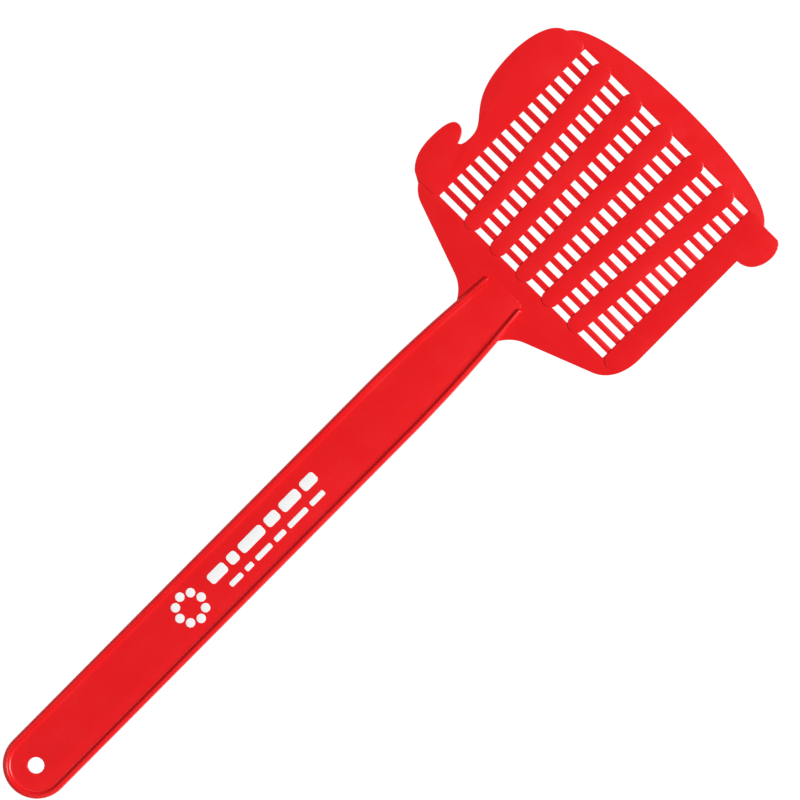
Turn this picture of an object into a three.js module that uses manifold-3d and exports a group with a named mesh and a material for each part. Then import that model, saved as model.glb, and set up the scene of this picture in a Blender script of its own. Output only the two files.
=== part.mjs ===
import * as THREE from "three";
import { mergeVertices } from "three/addons/utils/BufferGeometryUtils.js";
import Module from "manifold-3d";

// Fly swatter, one injection moulding in a soft thermoplastic, divided at its own section changes.
// Millimetres. +Z is the front face, +Y runs from the hanging hole to the head, +X is the right-hand side.
// Lengths along Y are given from the rounded end of the handle, and the whole part is centred afterwards.

const wasm = await Module();
wasm.setup();

// Handle
const HANDLE_LENGTH = 280;
const HANDLE_WIDTH = 29.3;
const WAIST_WIDTH = 24.8;
const TAPER_LENGTH = 55;
const TAPER_EASE = 18;
const RIM_DEPTH = 5.0;
const RIM_WIDTH = 2.8;
const RIM_EDGE_ROUND = 0.7;
const RIM_RUN_ON = 16.5;
const RIM_TIP_SPACING = 19.6;
const HANG_HOLE_DIAMETER = 7.0;
const HANG_HOLE_Y = 14.1;
const EYE_TAIL = 14;

// Plate
const PLATE_THICKNESS = 1.8;
const RAISE = 0.4;

// Flexing line across the plate, and the band between it and the first slot
const FLEX_AHEAD_OF_RIMS = 4.9;
const FLEX_GAP = 0.6;
const BAND_WIDTH = 4.85;

// Grille
const WINDOW_WIDTH = 97.6;
const SLOT_ROWS = 17;
const SLOT_HEIGHT = 2.68;
const BAR_WIDTH = 2.64;
const BAR_THICKNESS = 1.7;

// Ribs, fanned from the neck, with the outermost slots' widths at the two ends of the fan
const RIB_COUNT = 5;
const RIB_WIDTH_NECK = 7.6;
const RIB_WIDTH_CROWN = 9.2;
const OUTER_SLOT_NECK = 14.2;
const OUTER_SLOT_CROWN = 7.4;
const RIB_LAP = 1.6;

// Underside of the head: a hollow curve from the handle's shoulder, a slope, then a round corner
const FLARE_RUN = 8.6;
const FLARE_RISE = 7.4;
const FLARE_LEAD = 5.4;
const CHEEK_SETBACK = 10.4;
const CHEEK_RISE = 18.6;
const CHEEK_LEAD = 6.5;
const CHEEK_CORNER_RISE = 37;
const SIDE_LEAD = 9;
const LEFT_CHEEK_REACH = 2.4;

// Crown
const CROWN_RISE = 12.35;
const CROWN_LEAD = 6;
const CROWN_FULLNESS = 0.7;
const RIGHT_CROWN_SETBACK = 2.1;
const LEFT_CROWN_REACH = 11.2;

// Right border and its ear
const RIGHT_BORDER_WIDTH = 11.6;
const EAR_REACH = 9.5;
const EAR_DROP = 18.45;
const EAR_BELLY_DROP = 7.05;
const EAR_LEAD = 6;
const EAR_SHOULDER = 5.4;
const EAR_TOP_LEAD = 2.2;

// Left border, with the open notch that leaves a hook. Reaches are taken from the window's side.
const LOBE_REACH = 21.1;
const LOBE_DROP = 23;
const LOBE_TOP_LEAD = 6.8;
const LOBE_TOP_DROP = 1.4;
const LOBE_SIDE_LEAD = 10;
const WAIST_LEAD = 29;
const WAIST_RETURN = 10.5;
const NOTCH_REACH = 10.2;
const NOTCH_RISE = 21.45;
const NOTCH_MOUTH_REACH = 8.1;
const NOTCH_DEPTH = 5.8;
const HOOK_TIP_REACH = 15.8;
const HOOK_TIP_RISE = 6;
const HOOK_NECK_LEAD = 1.5;
const HOOK_REACH = 20.2;
const HOOK_BELLY_RISE = 14.75;
const HOOK_HEEL_REACH = 14.8;
const HOOK_HEEL_LEAD = 10;
const HOOK_HEEL_DROP = 2.35;

// Derived levels and places
const PLATE_BACK_Z = (RIM_DEPTH - PLATE_THICKNESS) / 2;
const PLATE_FRONT_Z = PLATE_BACK_Z + PLATE_THICKNESS;
const RAISED_Z = PLATE_FRONT_Z + RAISE;
const END_Y = HANDLE_WIDTH / 2;
const SHOULDER_Y = HANDLE_LENGTH;
const TAPER_START_Y = SHOULDER_Y - TAPER_LENGTH;
const RIM_TIP_Y = SHOULDER_Y + RIM_RUN_ON;
const RIM_TIP_RADIUS = RIM_WIDTH / 2;
const FLEX_Y = RIM_TIP_Y + FLEX_AHEAD_OF_RIMS;
const LOWER_FLEX_Y = FLEX_Y - FLEX_GAP / 2;
const UPPER_FLEX_Y = FLEX_Y + FLEX_GAP / 2;
const WINDOW_X = WINDOW_WIDTH / 2;
const WINDOW_BOTTOM_Y = FLEX_Y + BAND_WIDTH;
const ROW_PITCH = SLOT_HEIGHT + BAR_WIDTH;
const WINDOW_TOP_Y = WINDOW_BOTTOM_Y + SLOT_ROWS * SLOT_HEIGHT + (SLOT_ROWS - 1) * BAR_WIDTH;
const CROWN_Y = WINDOW_TOP_Y + CROWN_RISE;
const SIDE_X = WINDOW_X + RIGHT_BORDER_WIDTH;
const FLARE_X = WAIST_WIDTH / 2 + FLARE_RUN;
const CHEEK_CORNER_Y = SHOULDER_Y + CHEEK_CORNER_RISE;
const RIGHT_CROWN_X = SIDE_X - RIGHT_CROWN_SETBACK;
const LEFT_CROWN_X = WINDOW_X + LEFT_CROWN_REACH;
const EAR_BELLY_Y = WINDOW_TOP_Y - EAR_BELLY_DROP;
const LOBE_Y = WINDOW_TOP_Y - LOBE_DROP;
const NOTCH_X = -WINDOW_X - NOTCH_REACH;
const NOTCH_Y = WINDOW_BOTTOM_Y + NOTCH_RISE;
const HOOK_HEEL_X = -WINDOW_X - HOOK_HEEL_REACH;

const CURVE_STEPS = 12;
const ARC_STEPS = 10;

const PLASTIC = { color: 0xed2024, roughness: 0.3, metalness: 0 };

// --- helpers ---------------------------------------------------------------------------------------

function mirrored(points) {
  return points.map((p) => new THREE.Vector2(-p.x, p.y));
}

function reversed(points) {
  return [...points].reverse();
}

// Joins lists of points into one closed outline, leaving out points that repeat.
function outline(...lists) {
  const kept = [];
  for (const p of lists.flat()) {
    if (!kept.length || kept[kept.length - 1].distanceTo(p) > 1e-6) kept.push(p);
  }
  if (kept[0].distanceTo(kept[kept.length - 1]) < 1e-6) kept.pop();
  return new THREE.Shape(kept);
}

function point(x, y) {
  return new THREE.Vector2(x, y);
}

// A plate of the given outline between two heights.
function slab(shape, bottom, top) {
  const geometry = new THREE.ExtrudeGeometry(shape, {
    depth: top - bottom,
    bevelEnabled: false,
    curveSegments: CURVE_STEPS,
  });
  return geometry.translate(0, 0, bottom);
}

// The same with its front and back edges rounded off inside the outline.
function roundedSlab(shape, bottom, top, round) {
  const geometry = new THREE.ExtrudeGeometry(shape, {
    depth: top - bottom - 2 * round,
    bevelEnabled: true,
    bevelThickness: round,
    bevelSize: round,
    bevelOffset: -round,
    bevelSegments: 3,
    curveSegments: CURVE_STEPS,
  });
  return geometry.translate(0, 0, bottom + round);
}

function block(x0, x1, y0, y1, z0, z1) {
  const geometry = new THREE.BoxGeometry(x1 - x0, y1 - y0, z1 - z0);
  return geometry.translate((x0 + x1) / 2, (y0 + y1) / 2, (z0 + z1) / 2);
}

function solid(geometry) {
  const bare = geometry.clone();
  bare.deleteAttribute("normal");
  bare.deleteAttribute("uv");
  const merged = mergeVertices(bare, 1e-4);
  return new wasm.Manifold(
    new wasm.Mesh({
      numProp: 3,
      vertProperties: new Float32Array(merged.attributes.position.array),
      triVerts: new Uint32Array(merged.index.array),
    }),
  );
}

function geometryOf(body) {
  const mesh = body.getMesh();
  const geometry = new THREE.BufferGeometry();
  geometry.setAttribute("position", new THREE.BufferAttribute(mesh.vertProperties, 3));
  geometry.setIndex(new THREE.BufferAttribute(mesh.triVerts, 1));
  geometry.computeVertexNormals();
  return geometry;
}

function piece(name, geometry) {
  const mesh = new THREE.Mesh(geometry, new THREE.MeshStandardMaterial(PLASTIC));
  mesh.name = name;
  return mesh;
}

// --- handle ----------------------------------------------------------------------------------------

// The right-hand edge of the handle, or a line parallel to it further in, from the rounded end
// to where the rim's tip starts to round.
function handleSide(inset) {
  const tipX = RIM_TIP_SPACING / 2 + RIM_TIP_RADIUS;
  const tipY = RIM_TIP_Y - RIM_TIP_RADIUS;
  const lean = (WAIST_WIDTH / 2 - tipX) / (tipY - SHOULDER_Y);
  const path = new THREE.Path();
  path.moveTo(HANDLE_WIDTH / 2 - inset, END_Y);
  path.lineTo(HANDLE_WIDTH / 2 - inset, TAPER_START_Y);
  path.bezierCurveTo(
    HANDLE_WIDTH / 2 - inset,
    TAPER_START_Y + TAPER_EASE,
    WAIST_WIDTH / 2 - inset + lean * TAPER_EASE,
    SHOULDER_Y - TAPER_EASE,
    WAIST_WIDTH / 2 - inset,
    SHOULDER_Y,
  );
  path.lineTo(tipX - inset, tipY);
  return path.getPoints(CURVE_STEPS);
}

// The half circle of the handle's end, from its left side round to its right side.
function handleEnd(inset) {
  const path = new THREE.Path();
  path.absarc(0, END_Y, HANDLE_WIDTH / 2 - inset, Math.PI, 2 * Math.PI);
  return path.getPoints(ARC_STEPS);
}

// One quarter of the right-hand rim's rounded tip: outer is the side away from the handle's middle.
function tipQuarter(outer) {
  const path = new THREE.Path();
  const start = outer ? 0 : Math.PI / 2;
  path.absarc(
    RIM_TIP_SPACING / 2,
    RIM_TIP_Y - RIM_TIP_RADIUS,
    RIM_TIP_RADIUS,
    start,
    start + Math.PI / 2,
  );
  return path.getPoints(ARC_STEPS / 2);
}

function below(points, y) {
  return points.filter((p) => p.y <= y + 1e-6);
}

function above(points, y) {
  return points.filter((p) => p.y >= y - 1e-6);
}

function rims() {
  const outer = handleSide(0);
  const inner = handleSide(RIM_WIDTH);
  const rightTip = [...tipQuarter(true), ...tipQuarter(false)];
  const shape = outline(
    handleEnd(0),
    outer,
    rightTip,
    reversed(inner),
    reversed(handleEnd(RIM_WIDTH)),
    mirrored(inner),
    mirrored(reversed(rightTip)),
    mirrored(reversed(outer)),
  );
  const whole = solid(roundedSlab(shape, 0, RIM_DEPTH, RIM_EDGE_ROUND));
  const reach = HANDLE_WIDTH;
  const right = solid(block(0, reach, END_Y, RIM_TIP_Y + reach, -reach, reach));
  const left = solid(block(-reach, 0, END_Y, RIM_TIP_Y + reach, -reach, reach));
  const end = solid(block(-reach, reach, END_Y - 2 * reach, END_Y, -reach, reach));
  return [
    piece("rim_end", geometryOf(whole.intersect(end))),
    piece("rim_left", geometryOf(whole.intersect(left))),
    piece("rim_right", geometryOf(whole.intersect(right))),
  ];
}

function hangEye() {
  const x = HANDLE_WIDTH / 2 - RIM_WIDTH;
  const shape = outline(handleEnd(RIM_WIDTH), [point(x, END_Y + EYE_TAIL), point(-x, END_Y + EYE_TAIL)]);
  const hole = new THREE.Path();
  hole.absarc(0, HANG_HOLE_Y, HANG_HOLE_DIAMETER / 2, 0, 2 * Math.PI);
  shape.holes.push(hole);
  return piece("hang_eye", slab(shape, PLATE_BACK_Z, PLATE_FRONT_Z));
}

function handleWeb() {
  const x = HANDLE_WIDTH / 2 - RIM_WIDTH;
  const edge = above(below(handleSide(RIM_WIDTH), SHOULDER_Y), TAPER_START_Y);
  const side = [point(x, END_Y + EYE_TAIL), ...edge];
  return piece("handle_web", slab(outline(side, mirrored(reversed(side))), PLATE_BACK_Z, PLATE_FRONT_Z));
}

function neckPlate() {
  const side = [
    ...above(handleSide(RIM_WIDTH), SHOULDER_Y),
    ...reversed(tipQuarter(false)),
    point(RIM_TIP_SPACING / 2, LOWER_FLEX_Y),
  ];
  return piece("neck_plate", slab(outline(side, mirrored(reversed(side))), PLATE_BACK_Z, PLATE_FRONT_Z));
}

// --- head outline ----------------------------------------------------------------------------------

// The underside of the head on the right, from the handle's shoulder out to the start of the side.
// The reach carries the outer part of the curve further from the handle.
function cheek(reach) {
  const path = new THREE.Path();
  const sideX = SIDE_X + reach;
  const outX = sideX - CHEEK_SETBACK;
  const slope = (CHEEK_RISE - FLARE_RISE) / (outX - FLARE_X);
  path.moveTo(WAIST_WIDTH / 2, SHOULDER_Y);
  path.quadraticCurveTo(
    FLARE_X - FLARE_LEAD,
    SHOULDER_Y + FLARE_RISE - FLARE_LEAD * slope,
    FLARE_X,
    SHOULDER_Y + FLARE_RISE,
  );
  path.lineTo(outX, SHOULDER_Y + CHEEK_RISE);
  path.bezierCurveTo(
    outX + CHEEK_LEAD,
    SHOULDER_Y + CHEEK_RISE + CHEEK_LEAD * slope,
    sideX,
    CHEEK_CORNER_Y - SIDE_LEAD,
    sideX,
    CHEEK_CORNER_Y,
  );
  return path.getPoints(CURVE_STEPS);
}

// Where a line of points crosses a height, by straight interpolation.
function crossing(points, y) {
  const i = points.findIndex((p) => p.y > y);
  const a = points[i - 1];
  const b = points[i];
  return point(a.x + ((b.x - a.x) * (y - a.y)) / (b.y - a.y), y);
}

// The plate beside the neck, between the rim's outer side and the head's underside.
function shoulder(name, isLeft) {
  const flare = cheek(isLeft ? LEFT_CHEEK_REACH : 0);
  const points = [
    ...below(flare, LOWER_FLEX_Y),
    crossing(flare, LOWER_FLEX_Y),
    point(RIM_TIP_SPACING / 2, LOWER_FLEX_Y),
    ...reversed(tipQuarter(true)),
    ...reversed(above(handleSide(0), SHOULDER_Y)),
  ];
  return piece(name, slab(outline(isLeft ? mirrored(points) : points), PLATE_BACK_Z, PLATE_FRONT_Z));
}

// The cheek's curve between the flexing line and the bottom of the window.
function bandEnd(reach) {
  const flare = cheek(reach);
  return [
    crossing(flare, UPPER_FLEX_Y),
    ...flare.filter((p) => p.y > UPPER_FLEX_Y && p.y < WINDOW_BOTTOM_Y),
    crossing(flare, WINDOW_BOTTOM_Y),
  ];
}

// The band under the window. Its left end runs out to meet the heel of the hook.
function bottomBand() {
  const heelY = WINDOW_BOTTOM_Y - HOOK_HEEL_DROP;
  const left = mirrored(bandEnd(LEFT_CHEEK_REACH)).filter((p) => p.y < heelY);
  const shape = outline(bandEnd(0), [point(HOOK_HEEL_X, WINDOW_BOTTOM_Y)], reversed(left));
  return piece("bottom_band", slab(shape, PLATE_BACK_Z, PLATE_FRONT_Z));
}

// Half of the crown's flat arch, from its corner above the window up to the middle.
function crown(cornerX) {
  const path = new THREE.Path();
  path.moveTo(cornerX, WINDOW_TOP_Y);
  path.bezierCurveTo(
    cornerX - CROWN_LEAD,
    WINDOW_TOP_Y + CROWN_RISE * CROWN_FULLNESS,
    cornerX / 2,
    CROWN_Y,
    0,
    CROWN_Y,
  );
  return path.getPoints(2 * CURVE_STEPS);
}

function topBand() {
  const shape = outline(crown(RIGHT_CROWN_X), mirrored(reversed(crown(LEFT_CROWN_X))));
  return piece("top_band", slab(shape, PLATE_BACK_Z, PLATE_FRONT_Z));
}

function rightBorder() {
  const flare = cheek(0);
  const shape = outline(
    [point(WINDOW_X, WINDOW_BOTTOM_Y), crossing(flare, WINDOW_BOTTOM_Y)],
    flare.filter((p) => p.y > WINDOW_BOTTOM_Y),
    [point(SIDE_X, WINDOW_TOP_Y), point(WINDOW_X, WINDOW_TOP_Y)],
  );
  return piece("right_border", slab(shape, PLATE_BACK_Z, RAISED_Z));
}

function ear() {
  const right = SIDE_X + EAR_REACH;
  const bottomY = WINDOW_TOP_Y - EAR_DROP;
  const topX = SIDE_X + EAR_SHOULDER;
  const path = new THREE.Path();
  path.moveTo(SIDE_X, bottomY);
  path.bezierCurveTo(SIDE_X + EAR_LEAD, bottomY, right, EAR_BELLY_Y - EAR_LEAD, right, EAR_BELLY_Y);
  path.bezierCurveTo(
    right,
    (EAR_BELLY_Y + WINDOW_TOP_Y) / 2,
    topX + EAR_TOP_LEAD,
    WINDOW_TOP_Y,
    topX,
    WINDOW_TOP_Y,
  );
  path.lineTo(SIDE_X, WINDOW_TOP_Y);
  return piece("right_ear", slab(outline(path.getPoints(ARC_STEPS)), PLATE_BACK_Z, RAISED_Z));
}

function leftBorder() {
  const left = -WINDOW_X - LOBE_REACH;
  const mouthX = -WINDOW_X - NOTCH_MOUTH_REACH;
  const mouthY = NOTCH_Y + NOTCH_DEPTH;
  const path = new THREE.Path();
  path.moveTo(-LEFT_CROWN_X, WINDOW_TOP_Y);
  path.bezierCurveTo(
    -LEFT_CROWN_X - LOBE_TOP_LEAD,
    WINDOW_TOP_Y - LOBE_TOP_DROP,
    left,
    LOBE_Y + LOBE_SIDE_LEAD,
    left,
    LOBE_Y,
  );
  path.bezierCurveTo(
    left,
    LOBE_Y - WAIST_LEAD,
    mouthX,
    mouthY + WAIST_RETURN,
    mouthX,
    mouthY,
  );
  path.quadraticCurveTo(mouthX, NOTCH_Y, NOTCH_X, NOTCH_Y);
  path.lineTo(-WINDOW_X, NOTCH_Y);
  path.lineTo(-WINDOW_X, WINDOW_TOP_Y);
  return piece("left_border", slab(outline(path.getPoints(CURVE_STEPS)), PLATE_BACK_Z, RAISED_Z));
}

function leftHook() {
  const left = -WINDOW_X - HOOK_REACH;
  const tipX = -WINDOW_X - HOOK_TIP_REACH;
  const tipY = NOTCH_Y + HOOK_TIP_RISE;
  const bellyY = WINDOW_BOTTOM_Y + HOOK_BELLY_RISE;
  const path = new THREE.Path();
  path.moveTo(-WINDOW_X, NOTCH_Y);
  path.lineTo(NOTCH_X, NOTCH_Y);
  path.quadraticCurveTo(NOTCH_X - HOOK_NECK_LEAD, tipY, tipX, tipY);
  path.quadraticCurveTo(left, tipY, left, bellyY);
  path.quadraticCurveTo(left, bellyY - HOOK_HEEL_LEAD, HOOK_HEEL_X, WINDOW_BOTTOM_Y);
  path.lineTo(-WINDOW_X, WINDOW_BOTTOM_Y);
  return piece("left_hook", slab(outline(path.getPoints(CURVE_STEPS)), PLATE_BACK_Z, RAISED_Z));
}

// --- grille ----------------------------------------------------------------------------------------

function barBlock(row) {
  const y = WINDOW_BOTTOM_Y + SLOT_HEIGHT + row * ROW_PITCH;
  return block(-WINDOW_X, WINDOW_X, y, y + BAR_WIDTH, PLATE_BACK_Z, PLATE_BACK_Z + BAR_THICKNESS);
}

function crossBars() {
  const bars = [];
  for (let row = 0; row < SLOT_ROWS - 1; row++) {
    const number = String(row + 1).padStart(2, "0");
    bars.push(piece("cross_bar_" + number, barBlock(row)));
  }
  return bars;
}

// The outline round two circles of different sizes, the first below the second. The outermost
// ribs stand off the window's sides by the outer slots' widths, and the rest are spread evenly.
function ribOutline(index) {
  const place = (2 * index) / (RIB_COUNT - 1) - 1;
  const lowR = RIB_WIDTH_NECK / 2;
  const highR = RIB_WIDTH_CROWN / 2;
  const lowX = place * (WINDOW_X - OUTER_SLOT_NECK - lowR);
  const highX = place * (WINDOW_X - OUTER_SLOT_CROWN - highR);
  const low = point(lowX, WINDOW_BOTTOM_Y - RIB_LAP + lowR);
  const high = point(highX, WINDOW_TOP_Y + RIB_LAP - highR);
  const lean = Math.atan2(high.y - low.y, high.x - low.x);
  const spread = Math.PI / 2 + Math.asin((highR - lowR) / low.distanceTo(high));
  const path = new THREE.Path();
  path.absarc(high.x, high.y, highR, lean - spread, lean + spread);
  path.absarc(low.x, low.y, lowR, lean + spread, lean - spread + 2 * Math.PI);
  return outline(path.getPoints(ARC_STEPS));
}

function ribs() {
  const made = [];
  for (let index = 0; index < RIB_COUNT; index++) {
    const shape = ribOutline(index);
    const window = solid(
      block(-WINDOW_X, WINDOW_X, WINDOW_BOTTOM_Y, WINDOW_TOP_Y, PLATE_BACK_Z, RAISED_Z),
    );
    const cap = solid(slab(shape, PLATE_FRONT_Z, RAISED_Z));
    let body = solid(slab(shape, PLATE_BACK_Z, RAISED_Z)).intersect(window).add(cap);
    for (let row = 0; row < SLOT_ROWS - 1; row++) body = body.subtract(solid(barBlock(row)));
    made.push(piece("rib_" + (index + 1), geometryOf(body)));
  }
  return made;
}

// --- assembly --------------------------------------------------------------------------------------

const handle = new THREE.Group();
handle.add(...rims(), hangEye(), handleWeb(), neckPlate());
handle.add(shoulder("left_shoulder", true), shoulder("right_shoulder", false));

const head = new THREE.Group();
head.add(bottomBand(), topBand(), leftBorder(), leftHook(), rightBorder(), ear());
head.add(...crossBars(), ...ribs());

const swatter = new THREE.Group();
swatter.add(handle, head);
swatter.position.set(0, -CROWN_Y / 2, 0);

export default swatter;
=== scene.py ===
"""Fly swatter: the finished look of the moulding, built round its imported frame."""

import logging
import math
from collections.abc import Iterator
from contextlib import contextmanager
from dataclasses import dataclass, field
from enum import Enum

import bpy
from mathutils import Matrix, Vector

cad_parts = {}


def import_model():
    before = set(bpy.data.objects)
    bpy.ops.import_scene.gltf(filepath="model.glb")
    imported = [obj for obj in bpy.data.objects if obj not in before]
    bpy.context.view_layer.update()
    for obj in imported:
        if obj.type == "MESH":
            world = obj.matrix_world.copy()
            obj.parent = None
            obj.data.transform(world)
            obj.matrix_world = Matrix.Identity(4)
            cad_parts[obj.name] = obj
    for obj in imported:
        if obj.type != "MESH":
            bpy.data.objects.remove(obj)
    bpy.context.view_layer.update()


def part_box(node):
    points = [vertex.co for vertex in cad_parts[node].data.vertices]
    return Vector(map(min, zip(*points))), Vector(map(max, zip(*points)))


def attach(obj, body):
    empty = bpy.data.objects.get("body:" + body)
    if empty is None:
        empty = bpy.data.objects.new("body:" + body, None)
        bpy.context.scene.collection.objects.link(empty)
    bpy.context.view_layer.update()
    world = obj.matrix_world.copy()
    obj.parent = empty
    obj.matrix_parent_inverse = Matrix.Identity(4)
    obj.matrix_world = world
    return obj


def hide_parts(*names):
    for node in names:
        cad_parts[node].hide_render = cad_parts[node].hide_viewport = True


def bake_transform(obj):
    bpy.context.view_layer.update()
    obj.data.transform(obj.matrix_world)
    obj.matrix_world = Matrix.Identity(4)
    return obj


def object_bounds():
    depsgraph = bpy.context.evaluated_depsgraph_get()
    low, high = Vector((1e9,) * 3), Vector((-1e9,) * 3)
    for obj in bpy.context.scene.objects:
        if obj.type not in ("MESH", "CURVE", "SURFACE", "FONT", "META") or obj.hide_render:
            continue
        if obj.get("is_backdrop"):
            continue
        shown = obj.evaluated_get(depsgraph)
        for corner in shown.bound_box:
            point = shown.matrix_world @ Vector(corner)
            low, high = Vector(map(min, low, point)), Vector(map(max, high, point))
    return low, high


MM = 0.001
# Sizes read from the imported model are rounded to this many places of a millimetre.
SIZE_PLACES = 4
# Outline points nearer than this, in millimetres, are one point.
SAME_PLACE = 1e-4
# Mesh points nearer than the first, in metres, are merged. Edges shorter than the second go.
WELD_REACH = 2e-6
NO_LENGTH = 1e-7
EDGE_SEGMENTS = 3
# Sockets of a colour mix node by number, since their names repeat.
MIX_SHARE, MIX_FIRST, MIX_SECOND, MIX_COLOUR = 0, 6, 7, 2
LOG = logging.getLogger("swatter")

Point = tuple[float, float]
Loop = list[Point]
Colour = tuple[float, float, float]


class Side(Enum):
    """Which way from the handle's axis a feature lies."""

    LEFT = -1
    RIGHT = 1


# --- drawing and mesh work -----------------------------------------------------------------------


class Pen:
    """Draws an outline in millimetres, as a list of points on lines, arcs and Bezier curves."""

    def __init__(self, x: float, y: float, steps: int = 24) -> None:
        """Starts the outline.

        Args:
            x: First point, across.
            y: First point, along the handle from its rounded end.
            steps: How many stretches each curve is divided into.
        """
        self.points: Loop = [(x, y)]
        self.steps = steps

    def line(self, x: float, y: float) -> "Pen":
        """Draws a straight line to a point.

        Args:
            x: End, across.
            y: End, along.

        Returns:
            The pen, so that strokes can be chained.
        """
        self.points.append((x, y))
        return self

    def curve(self, first: Point, second: Point, end: Point) -> "Pen":
        """Draws a cubic Bezier curve.

        Args:
            first: Control point that the curve leaves towards.
            second: Control point that it arrives from.
            end: Where it ends.

        Returns:
            The pen.
        """
        start = self.points[-1]
        for i in range(1, self.steps + 1):
            t = i / self.steps
            a, b, c, d = (1 - t) ** 3, 3 * t * (1 - t) ** 2, 3 * t * t * (1 - t), t**3
            x = a * start[0] + b * first[0] + c * second[0] + d * end[0]
            y = a * start[1] + b * first[1] + c * second[1] + d * end[1]
            self.points.append((x, y))
        return self

    def bow(self, control: Point, end: Point) -> "Pen":
        """Draws a quadratic Bezier curve.

        Args:
            control: Its one control point.
            end: Where it ends.

        Returns:
            The pen.
        """
        start = self.points[-1]
        first = tuple(s + 2 / 3 * (c - s) for s, c in zip(start, control))
        second = tuple(e + 2 / 3 * (c - e) for e, c in zip(end, control))
        return self.curve(first, second, end)

    def arc(self, centre: Point, radius: float, start: float, end: float) -> "Pen":
        """Draws a circular arc, and a line to its start if the pen isn't there.

        Args:
            centre: Its centre.
            radius: Its radius.
            start: Angle where it starts, in degrees.
            end: Angle where it ends, in degrees.

        Returns:
            The pen.
        """
        for i in range(self.steps + 1):
            a = math.radians(start + (end - start) * i / self.steps)
            self.points.append((centre[0] + radius * math.cos(a), centre[1] + radius * math.sin(a)))
        return self


def mirrored(points: Loop) -> Loop:
    """The same points on the other side of the axis, in the opposite order."""
    return [(-x, y) for x, y in reversed(points)]


def closed(points: Loop) -> Loop:
    """Leaves out points that repeat, so that the outline closes on itself once.

    Args:
        points: The outline as drawn.

    Returns:
        The same outline with no two neighbours alike.
    """
    kept: Loop = []
    for p in points:
        if not kept or math.dist(kept[-1], p) > SAME_PLACE:
            kept.append(p)
    if math.dist(kept[0], kept[-1]) < SAME_PLACE:
        kept.pop()
    return kept


@dataclass(frozen=True)
class Limits:
    """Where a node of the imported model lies, in millimetres, with Y from the handle's end."""

    left: float
    right: float
    bottom: float
    top: float
    back: float
    front: float


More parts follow.
